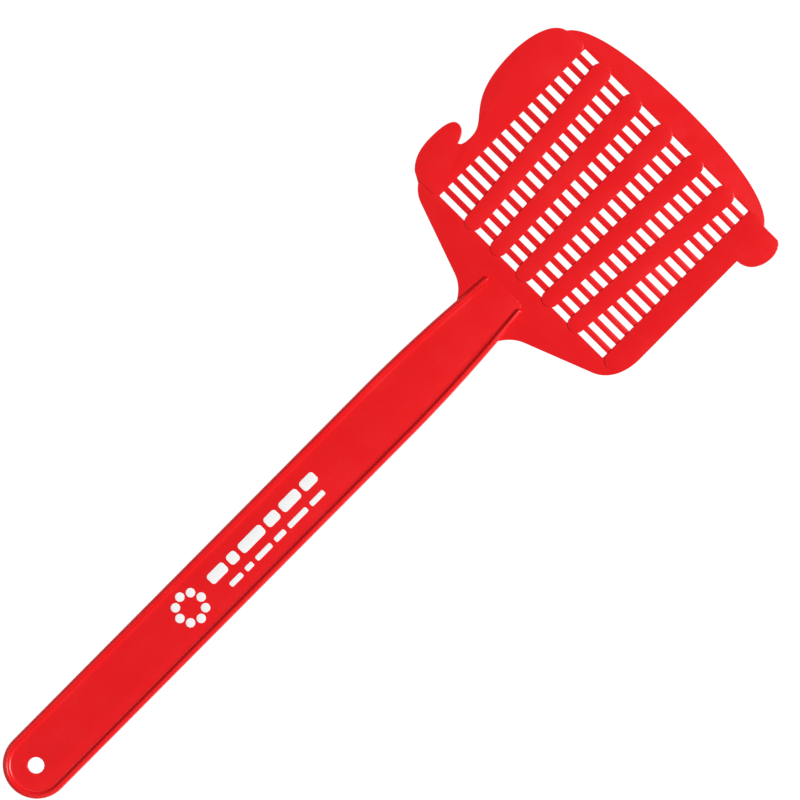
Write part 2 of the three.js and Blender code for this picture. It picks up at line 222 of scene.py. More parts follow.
class Bench:
    """Makes meshes with Blender's own tools, in the part's frame."""

    def __init__(self) -> None:
        """Takes the place of the handle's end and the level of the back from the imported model."""
        low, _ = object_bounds()
        self.end_y = low[1]
        self.back_z = low[2]

    def limits(self, node: str) -> Limits:
        """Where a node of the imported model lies.

        Args:
            node: Its name.

        Returns:
            Its limits.
        """
        low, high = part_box(node)
        across = (low[0], high[0])
        along = (low[1] - self.end_y, high[1] - self.end_y)
        sizes = (*across, *along, low[2], high[2])
        return Limits(*(round(size / MM, SIZE_PLACES) for size in sizes))

    def place(self, x: float, y: float, z: float) -> Vector:
        """A point given in millimetres from the handle's end, as a place in the frame."""
        return Vector((x * MM, self.end_y + y * MM, z * MM))

    def clear(self) -> None:
        """Deselects every object."""
        for other in bpy.context.selected_objects:
            other.select_set(False)

    def pick(self, obj: bpy.types.Object) -> None:
        """Makes one object the only selected one."""
        self.clear()
        obj.select_set(True)
        bpy.context.view_layer.objects.active = obj

    @contextmanager
    def editing(self, obj: bpy.types.Object) -> Iterator[None]:
        """Opens a mesh in edit mode with all of it selected, and closes it again.

        Args:
            obj: The mesh object.

        Yields:
            Nothing.
        """
        self.pick(obj)
        bpy.ops.object.mode_set(mode="EDIT")
        bpy.ops.mesh.select_all(action="SELECT")
        yield
        bpy.ops.object.mode_set(mode="OBJECT")

    def curve(
        self, name: str, loops: list[list[Vector]], flat: bool, cyclic: bool
    ) -> bpy.types.Object:
        """Adds a curve object of straight-sided loops.

        Args:
            name: Name of the new object.
            loops: Points of each loop.
            flat: True for a filled outline, False for a path.
            cyclic: Whether each loop closes on itself.

        Returns:
            The curve object.
        """
        bpy.ops.curve.primitive_bezier_curve_add(location=(0, 0, 0))
        obj = bpy.context.object
        obj.name = name
        data = obj.data
        data.splines.clear()
        data.dimensions = "2D" if flat else "3D"
        data.fill_mode = "BOTH" if flat else "FULL"
        for loop in loops:
            spline = data.splines.new("POLY")
            spline.points.add(len(loop) - 1)
            for knot, co in zip(spline.points, loop):
                knot.co = (*co, 1)
            spline.use_cyclic_u = cyclic
        return obj

    def to_mesh(self, obj: bpy.types.Object) -> bpy.types.Object:
        """Turns a curve object into a mesh object of the same name."""
        self.pick(obj)
        bpy.ops.object.convert(target="MESH")
        made = bpy.context.object
        made.data.name = made.name
        return made

    def weld(self, obj: bpy.types.Object, smooth: float = 40) -> None:
        """Merges doubles, turns faces outwards and smooths the shading below an angle.

        Args:
            obj: The mesh object.
            smooth: Edges flatter than this many degrees are shaded smooth.
        """
        with self.editing(obj):
            bpy.ops.mesh.remove_doubles(threshold=WELD_REACH)
            bpy.ops.mesh.dissolve_degenerate(threshold=NO_LENGTH)
            bpy.ops.mesh.normals_make_consistent(inside=False)
            bpy.ops.mesh.select_all(action="DESELECT")
        bpy.ops.object.shade_smooth_by_angle(angle=math.radians(smooth))

    def slab(
        self,
        name: str,
        loops: list[Loop],
        bottom: float,
        top: float,
        edge: float,
        inset: float = 0.0,
    ) -> bpy.types.Object:
        """A plate of one outline with holes, its front and back edges rounded off.

        Args:
            name: Name of the piece.
            loops: The outline and then its holes, in millimetres.
            bottom: Height of its back face.
            top: Height of its front face.
            edge: Radius of its edges.
            inset: How far its sides are drawn in from the outline.

        Returns:
            The mesh object, in its place.
        """
        places = [[self.place(x, y, 0) for x, y in closed(loop)] for loop in loops]
        obj = self.curve(name, places, flat=True, cyclic=True)
        obj.data.extrude = ((top - bottom) / 2 - edge) * MM
        obj.data.bevel_depth = edge * MM
        obj.data.bevel_resolution = EDGE_SEGMENTS
        obj.data.offset = -(edge + inset) * MM
        made = self.to_mesh(obj)
        with self.editing(made):
            bpy.ops.transform.translate(value=(0, 0, (top + bottom) / 2 * MM))
        self.weld(made)
        return made

    def sweep(
        self, name: str, section: Loop, path: list[Vector], shares: list[float]
    ) -> bpy.types.Object:
        """Carries a section along a path and closes both ends.

        Args:
            name: Name of the piece.
            section: Its outline, as distance outwards and height, in millimetres.
            path: The points of the path.
            shares: How much of the section's full size it has at each point.

        Returns:
            The mesh object.
        """
        around = [Vector((u * MM, z * MM, 0)) for u, z in section]
        profile = self.curve(name + "_section", [around], flat=True, cyclic=True)
        profile.data.fill_mode = "NONE"
        swept = self.curve(name, [path], flat=False, cyclic=False)
        for knot, share in zip(swept.data.splines[0].points, shares):
            knot.radius = share
        swept.data.twist_mode = "Z_UP"
        swept.data.bevel_mode = "OBJECT"
        swept.data.bevel_object = profile
        swept.data.use_fill_caps = True
        made = self.to_mesh(swept)
        self.pick(profile)
        bpy.ops.object.delete()
        return made

    def join(self, name: str, pieces: list[bpy.types.Object]) -> bpy.types.Object:
        """Makes one object of two or more.

        Args:
            name: Name of the result.
            pieces: The objects, the first of which is kept.

        Returns:
            The joined object.
        """
        self.pick(pieces[0])
        for piece in pieces[1:]:
            piece.select_set(True)
        bpy.ops.object.join()
        made = bpy.context.object
        made.name = name
        made.data.name = name
        return made

    def cut_across(self, obj: bpy.types.Object, start: float, end: float, count: int) -> None:
        """Divides a mesh by evenly spaced planes across the handle, so that it can bend there.

        Args:
            obj: The mesh object.
            start: First plane, in millimetres along the handle.
            end: Last plane.
            count: How many planes.
        """
        with self.editing(obj):
            for i in range(count):
                y = start + (end - start) * i / (count - 1)
                bpy.ops.mesh.select_all(action="SELECT")
                bpy.ops.mesh.bisect(plane_co=self.place(0, y, 0), plane_no=(0, 1, 0))
            bpy.ops.mesh.select_all(action="DESELECT")


# --- finishes ------------------------------------------------------------------------------------


@dataclass(frozen=True)
class Pattern:
    """A noise: its scale per metre, its finer layers, and how much closer it is along each axis."""

    scale: float
    detail: float
    stretch: tuple[float, float, float] = (1, 1, 1)


@dataclass(frozen=True)
class Relief:
    """How much of a pattern shows as relief, and what a height of 1 stands for, in metres."""

    strength: float
    height: float


class Graph:
    """Short names for adding and joining shader nodes."""

    def __init__(self, name: str) -> None:
        """Starts a material with only its output and its surface shader.

        Args:
            name: Name of the material.
        """
        self.material = bpy.data.materials.new(name)
        self.material.use_nodes = True
        self.tree = self.material.node_tree
        self.tree.nodes.clear()
        self.output = self.add("ShaderNodeOutputMaterial")
        self.shader = self.add("ShaderNodeBsdfPrincipled")
        self.join(self.shader, "BSDF", self.output, "Surface")

    def add(self, kind: str, **values: object) -> bpy.types.Node:
        """Adds a node and sets its properties."""
        node = self.tree.nodes.new(kind)
        for key, value in values.items():
            setattr(node, key, value)
        return node

    def join(self, source: bpy.types.Node, out: str, target: bpy.types.Node, into: str) -> None:
        """Joins an output of one node to an input of another, both by name."""
        self.tree.links.new(source.outputs[out], target.inputs[into])

    def noise(self, pattern: Pattern) -> bpy.types.Node:
        """A noise that is fixed to the piece.

        Args:
            pattern: Its scale, layers and stretch.

        Returns:
            The noise node, whose output is Fac.
        """
        place = self.add("ShaderNodeTexCoord")
        mapping = self.add("ShaderNodeMapping")
        mapping.inputs["Scale"].default_value = pattern.stretch
        noise = self.add("ShaderNodeTexNoise")
        noise.inputs["Scale"].default_value = pattern.scale
        noise.inputs["Detail"].default_value = pattern.detail
        self.join(place, "Object", mapping, "Vector")
        self.join(mapping, "Vector", noise, "Vector")
        return noise

    def spread(self, source: bpy.types.Node, out: str, span: Point, to: Point) -> bpy.types.Node:
        """Maps one range of a pattern to another.

        Args:
            source: Node whose output is mapped.
            out: Name of that output.
            span: Range of the pattern that is used.
            to: What its two ends become.

        Returns:
            The mapping node, whose output is Result.
        """
        node = self.add("ShaderNodeMapRange")
        node.inputs["From Min"].default_value = span[0]
        node.inputs["From Max"].default_value = span[1]
        node.inputs["To Min"].default_value = to[0]
        node.inputs["To Max"].default_value = to[1]
        self.join(source, out, node, "Value")
        return node

    def bump(
        self,
        source: bpy.types.Node,
        out: str,
        relief: Relief,
        under: bpy.types.Node | None = None,
    ) -> bpy.types.Node:
        """Raises a pattern on the surface.

        Args:
            source: Node that gives the height.
            out: Name of its output.
            relief: How strong and how high it is.
            under: A bump node that this one adds to.

        Returns:
            The bump node.
        """
        node = self.add("ShaderNodeBump")
        node.inputs["Strength"].default_value = relief.strength
        node.inputs["Distance"].default_value = relief.height
        self.join(source, out, node, "Height")
        if under is not None:
            self.join(under, "Normal", node, "Normal")
        return node

    def tint(self, share: bpy.types.Node, first: Colour, second: Colour) -> None:
        """Gives the surface a mix of two colours.

        Args:
            share: Mapping node that gives the share of the second colour.
            first: Colour where the share is 0.
            second: Colour where the share is 1.
        """
        node = self.add("ShaderNodeMix", data_type="RGBA")
        node.inputs[MIX_FIRST].default_value = (*first, 1)
        node.inputs[MIX_SECOND].default_value = (*second, 1)
        self.tree.links.new(share.outputs["Result"], node.inputs[MIX_SHARE])
        self.tree.links.new(node.outputs[MIX_COLOUR], self.shader.inputs["Base Color"])


@dataclass(frozen=True)
class GlossyPlastic:
    """One-colour moulded polyolefin with flow mottling, faint grain and rubs along the handle."""

    name: str = "red_polyolefin"
    colour: Colour = (0.83, 0.0075, 0.0105)
    pale: Colour = (0.86, 0.0105, 0.0135)
    refraction: float = 1.49
    gloss: float = 0.2
    dull: float = 0.29
    mottle: Pattern = Pattern(45.0, 3, (1, 0.45, 1))
    mottle_span: Point = (0.3, 0.7)
    cloud: Pattern = Pattern(90.0, 4)
    cloud_span: Point = (0.35, 0.7)
    rubs: Pattern = Pattern(60.0, 5, (28, 1.1, 28))
    rub_span: Point = (0.61, 0.72)
    rub_dulling: float = 0.035
    rub_relief: Relief = Relief(0.025, 0.00002)
    wave: Pattern = Pattern(28.0, 1, (1, 0.5, 1))
    wave_relief: Relief = Relief(0.25, 0.0005)
    grain: Pattern = Pattern(1500.0, 2)
    grain_relief: Relief = Relief(0.1, 0.00002)
    seam_height: float = 2.5
    seam_reach: float = 0.07
    seam_relief: Relief = Relief(0.8, 0.00006)

    def make(self) -> bpy.types.Material:
        """Builds the material.

        Returns:
            The material.
        """
        g = Graph(self.name)
        g.shader.inputs["IOR"].default_value = self.refraction
        tone = g.spread(g.noise(self.mottle), "Fac", self.mottle_span, (0, 1))
        g.tint(tone, self.colour, self.pale)

        rub = g.spread(g.noise(self.rubs), "Fac", self.rub_span, (0, 1))
        haze = g.spread(g.noise(self.cloud), "Fac", self.cloud_span, (self.gloss, self.dull))
        rough = g.add("ShaderNodeMath", operation="MULTIPLY_ADD")
        rough.inputs[1].default_value = self.rub_dulling
        g.join(rub, "Result", rough, "Value")
        g.tree.links.new(haze.outputs["Result"], rough.inputs[2])
        g.join(rough, "Value", g.shader, "Roughness")

        wave = g.bump(g.noise(self.wave), "Fac", self.wave_relief)
        grain = g.bump(g.noise(self.grain), "Fac", self.grain_relief, wave)
        scratch = g.bump(rub, "Result", self.rub_relief, grain)
        seam = g.bump(self.seam(g), "Result", self.seam_relief, scratch)
        g.join(seam, "Normal", g.shader, "Normal")
        return g.material

    def seam(self, g: Graph) -> bpy.types.Node:
        """The parting line of the mould, half-way up the sides.

        Args:
            g: The material's graph.

        Returns:
            A mapping node that gives 1 on the line and 0 beside it.
        """
        place = g.add("ShaderNodeTexCoord")
        axes = g.add("ShaderNodeSeparateXYZ")
        g.join(place, "Object", axes, "Vector")
        off = g.add("ShaderNodeMath", operation="SUBTRACT")
        off.inputs[1].default_value = self.seam_height * MM
        g.join(axes, "Z", off, "Value")
        away = g.add("ShaderNodeMath", operation="ABSOLUTE")
        g.join(off, "Value", away, "Value")
        return g.spread(away, "Value", (0, self.seam_reach * MM), (1, 0))


@dataclass(frozen=True)
class PadInk:
    """Pad-printed white ink: an even film with a soft sheen and a few pinholes."""

    name: str = "white_pad_ink"
    colour: Colour = (0.95, 0.95, 0.95)
    under: Colour = (0.86, 0.45, 0.45)
    pinholes: Pattern = Pattern(1400.0, 2)
    pinhole_span: Point = (0.66, 0.74)
    sheen: Pattern = Pattern(300.0, 3)
    sheen_span: Point = (0.3, 0.7)
    roughness: Point = (0.38, 0.55)
    film: Pattern = Pattern(2200.0, 2)
    film_relief: Relief = Relief(0.2, 0.00001)

    def make(self) -> bpy.types.Material:
        """Builds the material.

        Returns:
            The material.
        """
        g = Graph(self.name)
        gaps = g.spread(g.noise(self.pinholes), "Fac", self.pinhole_span, (0, 1))
        g.tint(gaps, self.colour, self.under)
        sheen = g.spread(g.noise(self.sheen), "Fac", self.sheen_span, self.roughness)
        g.join(sheen, "Result", g.shader, "Roughness")
        film = g.bump(g.noise(self.film), "Fac", self.film_relief)
        g.join(film, "Normal", g.shader, "Normal")
        return g.material


@dataclass(frozen=True)
class StudioPaper:
    """The bright sheet that the part lies over."""

    name: str = "studio_paper"
    shade: float = 0.1
    glow: float = 1.0
    specular: float = 0.1
    tooth: Pattern = Pattern(900.0, 3)
    tooth_span: Point = (0.3, 0.7)
    roughness: Point = (0.9, 1.0)

    def make(self) -> bpy.types.Material:
        """Builds the material.

        Returns:
            The material.
        """
        g = Graph(self.name)
        tooth = g.spread(g.noise(self.tooth), "Fac", self.tooth_span, self.roughness)
        g.join(tooth, "Result", g.shader, "Roughness")
        g.shader.inputs["Base Color"].default_value = (self.shade, self.shade, self.shade, 1)
        g.shader.inputs["Specular IOR Level"].default_value = self.specular
        g.shader.inputs["Emission Color"].default_value = (1, 1, 1, 1)
        g.shader.inputs["Emission Strength"].default_value = self.glow
        return g.material


# --- the moulding --------------------------------------------------------------------------------


@dataclass
class Outline:
    """Plan of the moulding, in millimetres, with Y from the rounded end of the handle.

    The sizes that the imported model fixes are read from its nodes. A lead says how far a curve
    holds its direction at one of its ends.
    """

    bench: Bench
    waist_width: float = 24.8
    taper_length: float = 55.0
    taper_ease: float = 18.0
    hole_diameter: float = 7.0
    hole_y: float = 14.1
    window_corner: float = 0.5
    flare_run: float = 8.6
    flare_rise: float = 7.4
    flare_lead: float = 5.4
    cheek_setback: float = 10.4
    cheek_rise: float = 18.6
    cheek_lead: float = 6.5
    corner_rise: float = 37.0
    side_lead: float = 9.0
    left_cheek_reach: float = 2.4
    left_cheek_stop: float = 2.35
    ear_lead: float = 6.0
    ear_belly: float = 7.05
    ear_top_lead: float = 7.6
    ear_top: float = 5.4
    crown_lead: float = 6.0
    crown_lift: float = 0.7
    lobe_lead: float = 6.8
    lobe_drop: float = 1.4
    lobe_belly: float = 23.0
    lobe_belly_lead: float = 10.0
    lobe_tail_lead: float = 29.0
    mouth_depth: float = 8.1
    mouth_lead: float = 16.3
    mouth_corner: float = 5.8
    notch_reach: float = 10.2
    hook_throat: float = 11.7
    hook_tip: float = 15.8
    hook_belly: float = 14.75
    hook_lead: float = 10.0
    handle_length: float = field(init=False)
    handle_width: float = field(init=False)
    rim_width: float = field(init=False)
    rim_depth: float = field(init=False)
    rim_tip_y: float = field(init=False)
    rim_tip_spacing: float = field(init=False)
    plate_back: float = field(init=False)
    plate_front: float = field(init=False)
    raised: float = field(init=False)
    hinge_y: float = field(init=False)
    window_x: float = field(init=False)
    window_bottom: float = field(init=False)
    window_top: float = field(init=False)
    bar_width: float = field(init=False)
    bar_front: float = field(init=False)
    slot_height: float = field(init=False)
    crown_y: float = field(init=False)
    crown_left: float = field(init=False)
    crown_right: float = field(init=False)
    side_x: float = field(init=False)
    ear: Limits = field(init=False)
    lobe_left: float = field(init=False)
    notch_y: float = field(init=False)
    hook_left: float = field(init=False)
    hook_top: float = field(init=False)
    heel_left: float = field(init=False)

    def __post_init__(self) -> None:
        """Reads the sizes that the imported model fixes."""
        limits = self.bench.limits
        web, rim, neck = limits("handle_web"), limits("rim_end"), limits("neck_plate")
        self.handle_length, self.handle_width = web.top, 2 * rim.right
        self.rim_width, self.rim_depth = round(rim.right - web.right, SIZE_PLACES), rim.front
        self.rim_tip_y, self.rim_tip_spacing = limits("rim_left").top, 2 * neck.right
        self.plate_back, self.plate_front = web.back, web.front
        self.raised = limits("rib_1").front
        low, high, bar = limits("bottom_band"), limits("top_band"), limits("cross_bar_01")
        self.hinge_y = round((neck.top + low.bottom) / 2, SIZE_PLACES)
        self.window_x, self.window_bottom, self.window_top = bar.right, low.top, high.bottom
        self.bar_width, self.bar_front = round(bar.top - bar.bottom, SIZE_PLACES), bar.front
        self.slot_height = round(bar.bottom - low.top, SIZE_PLACES)
        self.crown_y, self.crown_left, self.crown_right = high.top, high.left, high.right
        self.side_x, self.ear = limits("right_border").right, limits("right_ear")
        lobe, hook = limits("left_border"), limits("left_hook")
        self.lobe_left, self.notch_y = lobe.left, lobe.bottom
        self.hook_left, self.hook_top, self.heel_left = hook.left, hook.top, low.left

    def side(self, inset: float) -> Loop:
        """The handle's right-hand edge, or a line parallel to it further in, up to the rim's tip.

        Args:
            inset: Distance from the edge.

        Returns:
            Its points, from the end of the handle upwards.
        """
        half, waist = self.handle_width / 2 - inset, self.waist_width / 2 - inset
        tip_x = self.rim_tip_spacing / 2 + self.rim_width / 2 - inset
        tip_y = self.rim_tip_y - self.rim_width / 2
        lean = (waist - tip_x) / (tip_y - self.handle_length)
        start = self.handle_length - self.taper_length
        pen = Pen(half, self.handle_width / 2)
        pen.line(half, start)
        pen.curve(
            (half, start + self.taper_ease),
            (waist + lean * self.taper_ease, self.handle_length - self.taper_ease),
            (waist, self.handle_length),
        )
        return pen.line(tip_x, tip_y).points

    def end(self, inset: float) -> Loop:
        """The half circle of the handle's end, from its left side to its right.

        Args:
            inset: Distance from the edge.

        Returns:
            Its points.
        """
        radius = self.handle_width / 2 - inset
        pen = Pen(-radius, self.handle_width / 2, steps=48)
        return pen.arc((0, self.handle_width / 2), radius, 180, 360).points

    def cheek(self, reach: float) -> Loop:
        """The head's underside on the right, from the handle's shoulder to the start of its side.

        Args:
            reach: How much further out it runs than the right-hand one.

        Returns:
            Its points.
        """
        base = self.handle_length
        side_x = self.side_x + reach
        out = side_x - self.cheek_setback
        flare = self.waist_width / 2 + self.flare_run
        slope = (self.cheek_rise - self.flare_rise) / (out - flare)
        flare_y, out_y = base + self.flare_rise, base + self.cheek_rise
        corner = base + self.corner_rise
        pen = Pen(self.waist_width / 2, base)
        pen.bow((flare - self.flare_lead, flare_y - self.flare_lead * slope), (flare, flare_y))
        pen.line(out, out_y)
        pen.curve(
            (out + self.cheek_lead, out_y + self.cheek_lead * slope),
            (side_x, corner - self.side_lead),
            (side_x, corner),
        )
        return pen.points

    def ear_edge(self) -> Loop:
        """The edge of the ear on the head's right side, from below upwards."""
        x, low, top, right = self.side_x, self.ear.bottom, self.ear.top, self.ear.right
        belly = top - self.ear_belly
        pen = Pen(x, low)
        pen.curve((x + self.ear_lead, low), (right, belly - self.ear_lead), (right, belly))
        pen.curve((right, (belly + top) / 2), (x + self.ear_top_lead, top), (x + self.ear_top, top))
        return pen.points

    def crown(self, corner: float) -> Loop:
        """Half of the head's flat arch.

        Args:
            corner: Where it starts, across.

        Returns:
            Its points, up to the middle.
        """
        lift = self.crown_lift * (self.crown_y - self.window_top)
        pen = Pen(corner, self.window_top)
        pen.curve(
            (corner - self.crown_lead, self.window_top + lift),
            (corner / 2, self.crown_y),
            (0, self.crown_y),
        )
        return pen.points

    def lobe(self) -> Loop:
        """The left side from the crown down into the notch."""
        corner, left, notch = self.crown_left, self.lobe_left, self.notch_y
        mouth = -self.window_x - self.mouth_depth
        belly = self.window_top - self.lobe_belly
        pen = Pen(corner, self.window_top)
        pen.curve(
            (corner - self.lobe_lead, self.window_top - self.lobe_drop),
            (left, belly + self.lobe_belly_lead),
            (left, belly),
        )
        pen.curve(
            (left, belly - self.lobe_tail_lead),
            (mouth, notch + self.mouth_lead),
            (mouth, notch + self.mouth_corner),
        )
        return pen.bow((mouth, notch), (-self.window_x - self.notch_reach, notch)).points

    def hook(self) -> Loop:
        """The left side from the notch round the hook to its heel."""
        left, top, inner = self.hook_left, self.hook_top, -self.window_x
        belly = self.window_bottom + self.hook_belly
        pen = Pen(inner - self.notch_reach, self.notch_y)
        pen.bow((inner - self.hook_throat, top), (inner - self.hook_tip, top))
        pen.bow((left, top), (left, belly))
        return pen.bow((left, belly - self.hook_lead), (self.heel_left, self.window_bottom)).points

    def whole(self, under_rim: float) -> Loop:
        """The outline of the plate.

        Args:
            under_rim: How far the handle's edges lie inside the rim.

        Returns:
            The outline.
        """
        edge = [p for p in self.side(under_rim) if p[1] <= self.handle_length]
        heel = self.window_bottom - self.left_cheek_stop
        left_cheek = [p for p in self.cheek(self.left_cheek_reach) if p[1] < heel]
        return (
            self.end(under_rim)
            + edge
            + self.cheek(0)
            + self.ear_edge()
            + [(self.side_x, self.window_top)]
            + self.crown(self.crown_right)
            + mirrored(self.crown(-self.crown_left))
            + self.lobe()
            + self.hook()
            + mirrored(left_cheek)
            + mirrored(edge)
        )

    def window(self) -> Loop:
        """The opening that the grille fills."""
        x, r = self.window_x, self.window_corner
        low, high = self.window_bottom, self.window_top
        pen = Pen(x, low + r, steps=5)
        pen.arc((x - r, high - r), r, 0, 90)
        pen.arc((r - x, high - r), r, 90, 180)
        pen.arc((r - x, low + r), r, 180, 270)
        return pen.arc((x - r, low + r), r, 270, 360).points

    def hole(self, margin: float) -> Loop:
        """The hanging hole, or a circle that much wider."""
        radius = self.hole_diameter / 2 + margin
        return Pen(radius, self.hole_y, steps=48).arc((0, self.hole_y), radius, 0, 360).points


@dataclass
class MouldedPart:
    """A part of the one-shot moulding: what all of its parts share."""

    bench: Bench
    plan: Outline
    plastic: bpy.types.Material

    def dress(self, piece: bpy.types.Object, body: str, *nodes: str) -> None:
        """Gives a piece its material, its body and the nodes that it stands for.

        Args:
            piece: The finished piece.
            body: The body that it rides on, or an empty string to attach it to none.
            nodes: The nodes that it replaces.
        """
        piece.data.materials.clear()
        piece.data.materials.append(self.plastic)
        if body:
            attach(piece, body)
        if nodes:
            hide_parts(*nodes)
        faces = len(piece.data.polygons)
        LOG.info("%s: %d faces, replaces %d nodes", piece.name, faces, len(nodes))


@dataclass
class Plate(MouldedPart):
    """The flat plate of handle, neck and head, which bends across the neck."""

    edge: float = 0.22
    bend_before: float = 3.0
    bend_past: float = 3.2
    bend_cuts: int = 15
    under_rim: float = 0.7

    def build(self) -> None:
        """Makes the plate and divides its neck by planes across it."""
        plan, bench = self.plan, self.bench
        plate = bench.slab(
            "moulded_plate",
            [plan.whole(self.under_rim), plan.window(), plan.hole(0)],
            plan.plate_back,
            plan.plate_front,
            self.edge,
        )
        start, end = plan.hinge_y - self.bend_before, plan.hinge_y + self.bend_past
        bench.cut_across(plate, start, end, self.bend_cuts)
        self.dress(
            plate,
            "",
            "handle_web",
            "hang_eye",
            "neck_plate",
            "left_shoulder",
            "right_shoulder",
            "bottom_band",
            "top_band",
        )
        middle = (plan.plate_back + plan.plate_front) / 2
        bench.place(0, start, middle)
        bench.place(0, end, middle)
        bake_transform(plate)


@dataclass
class Rims(MouldedPart):
    """The rolled bead that runs up both edges of the handle and round its end."""

    crest_x: float = -0.4
    roll: float = 1.74
    roll_end: float = 12.0
    inner_round: float = 0.6
    foot_round: float = 0.26
    foot_lift: float = 0.02
    draft: float = 8.0
    nose_steps: int = 10
    nose_end: float = 0.06
    cove_width: float = 1.5
    cove_height: float = 0.8
    cove_toe: float = 0.04
    cove_bend: Point = (-0.25, 0.06)
    cove_shoulder: float = 0.1
    cove_lap: float = 0.3
    cove_root: float = 0.2
    cove_inset: float = 0.1
    cove_lift: float = 0.1
    cove_fade: float = 14.0
    cove_end: float = 0.05

    def section(self) -> Loop:
        """The rim's section, which is high near the web and rolls over outwards.

        Returns:
            Points as distance outwards from the rim's middle, and height.
        """
        reach, depth = self.plan.rim_width / 2, self.plan.rim_depth
        foot = self.plan.plate_front + self.foot_lift
        pen = Pen(reach, depth / 2, steps=10)
        pen.arc((self.crest_x, depth - self.roll), self.roll, self.roll_end, 90)
        inner = (self.crest_x, depth - self.inner_round)
        pen.arc(inner, self.inner_round, 90, 180 - self.draft)
        pen.arc((-reach, foot + self.foot_round), self.foot_round, -self.draft, -90)
        back = [(u, depth - z) for u, z in reversed(pen.points)]
        return closed(pen.points + back)

    def nose(self, side: Loop) -> tuple[Loop, list[float]]:
        """Carries the rim's line on to its round nose.

        Args:
            side: The rim's line, up to where the nose starts.

        Returns:
            The points of the nose, and the share of the full section at each.
        """
        before, last = side[-2:]
        length = math.dist(before, last)
        ahead = ((last[0] - before[0]) / length, (last[1] - before[1]) / length)
        points, shares = [], []
        for index in range(1, self.nose_steps + 1):
            turn = math.pi / 2 * index / self.nose_steps
            reach = self.plan.rim_width / 2 * math.sin(turn)
            points.append((last[0] + ahead[0] * reach, last[1] + ahead[1] * reach))
            shares.append(max(math.cos(turn), self.nose_end))
        return points, shares

    def build(self) -> None:
        """Sweeps the section round the handle, from the nose of one rim to that of the other."""
        bench, plan = self.bench, self.plan
        middle, inset = plan.rim_depth / 2, plan.rim_width / 2
        side = plan.side(inset)
        run = closed(mirrored(side) + plan.end(inset) + side)
        nose, shares = self.nose(side)
        path = [bench.place(x, y, middle) for x, y in mirrored(nose) + run + nose]
        section = [(u, z - middle) for u, z in self.section()]
        rim = bench.sweep("handle_rim", section, path, shares[::-1] + [1.0] * len(run) + shares)
        bench.weld(rim, smooth=50)
        self.dress(rim, "handle", "rim_left", "rim_right", "rim_end")
        self.build_cove()

    def build_cove(self) -> None:
        """Makes the hollow curve by which the rim's inner side runs out into the web."""
        bench, plan = self.bench, self.plan
        width, height, root = self.cove_width, self.cove_height, self.cove_root
        pen = Pen(-width, self.cove_toe, steps=10)
        pen.bow(self.cove_bend, (self.cove_shoulder, height))
        pen.line(self.cove_lap, height).line(self.cove_lap, -root).line(-width, -root)
        inset = plan.rim_width - self.cove_inset
        run = closed(mirrored(plan.side(inset)) + plan.end(inset) + plan.side(inset))
        level = plan.plate_front + self.cove_lift
        path = [bench.place(x, y, level) for x, y in run]
        end_y = plan.rim_tip_y - plan.rim_width / 2
        shares = [min(1.0, max(self.cove_end, (end_y - y) / self.cove_fade)) for _, y in run]
        cove = bench.sweep("rim_cove", pen.points, path, shares)
        bench.weld(cove, smooth=60)
        self.dress(cove, "handle")


@dataclass
class WebPanel(MouldedPart):
    """The slightly proud panel between the rims, which ends in a fine line at their tips."""

    proud: float = 0.1
    sunk: float = 0.3
    edge: float = 0.08
    under_rim: float = 0.4
    past_tips: float = 1.4
    hole_margin: float = 0.3

    def build(self) -> None:
        """Makes the panel."""
        plan = self.plan
        inset = plan.rim_width - self.under_rim
        side, end = plan.side(inset), plan.end(inset)
        corner, top = side[-1][0], plan.rim_tip_y + self.past_tips
        loop = end + side + [(corner, top), (-corner, top)] + mirrored(side)
        panel = self.bench.slab(
            "web_panel",
            [loop, plan.hole(self.hole_margin)],
            plan.plate_front - self.sunk,
            plan.plate_front + self.proud,
            self.edge,
        )
        self.dress(panel, "handle")


@dataclass
class BorderFaces(MouldedPart):
    """The raised faces of the two borders of the head, the left one with its hook."""

    sunk: float = 0.3
    edge: float = 0.25
    inset: float = 0.08
    lap: float = 1.6
    corner: float = 4.2
    left_foot_lead: float = 12.6
    left_foot: float = 10.4
    left_top_lead: float = 8.0
    right_top_lead: float = 7.6
    right_top: float = 5.4

    def left(self) -> Loop:
        """The outline of the left face, whose inner corners are rounded."""
        plan = self.plan
        x, low, high = -plan.window_x, plan.window_bottom - self.lap, plan.window_top + self.lap
        r = self.corner
        pen = Pen(plan.heel_left, plan.window_bottom, steps=14)
        pen.bow((x - self.left_foot_lead, low), (x - self.left_foot, low))
        pen.arc((x - r, low + r), r, 270, 360)
        pen.arc((x - r, high - r), r, 0, 90)
        pen.bow((x - self.left_top_lead, high), (plan.crown_left, plan.window_top))
        return plan.lobe() + plan.hook() + pen.points

    def right(self) -> Loop:
        """The outline of the right face, with the ear."""
        plan = self.plan
        x, low, high = plan.window_x, plan.window_bottom - self.lap, plan.window_top + self.lap
        r = self.corner
        cheek = [p for p in plan.cheek(0) if p[1] > plan.window_bottom]
        pen = Pen(plan.crown_right, plan.window_top, steps=14)
        pen.bow((x + self.right_top_lead, high), (x + self.right_top, high))
        pen.arc((x + r, high - r), r, 90, 180)
        pen.arc((x + r, low + r), r, 180, 270)
        return cheek + plan.ear_edge() + pen.points

    def build(self) -> None:
        """Makes both faces."""
        plan = self.plan
        nodes = {
            "left_border_face": (self.left(), ("left_border", "left_hook")),
            "right_border_face": (self.right(), ("right_border", "right_ear")),
        }
        for name, (loop, stands_for) in nodes.items():
            bottom = plan.plate_front - self.sunk
            face = self.bench.slab(name, [loop], bottom, plan.raised, self.edge, self.inset)
            self.dress(face, "head", *stands_for)


